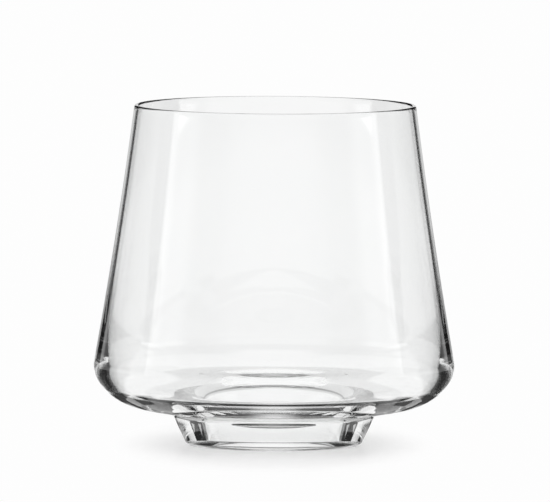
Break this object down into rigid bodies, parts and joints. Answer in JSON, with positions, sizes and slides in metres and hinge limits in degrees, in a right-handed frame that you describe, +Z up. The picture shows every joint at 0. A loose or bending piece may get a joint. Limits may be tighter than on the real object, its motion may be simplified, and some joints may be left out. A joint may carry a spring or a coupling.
{
  "type": "double old fashioned glass",
  "caption": "Low tumbler for spirits: a clear bowl that tapers up to a thin rim, with a heavy rounded bottom whose well dips into a small conical foot.",
  "frame": {"origin": "centre of the standing ring under the foot, in the plane of the table", "axes": "+Z up the axis of the glass, from the foot to the rim; X and Y are alike because the glass is round"},
  "size_m": [0.095, 0.095, 0.0895],
  "materials": {
    "clear_glass": "colourless, fire-polished, smooth and glossy"
  },
  "bodies": {
    "root": {"bowl": "clear_glass", "foot": "clear_glass"}
  },
  "joints": []
}
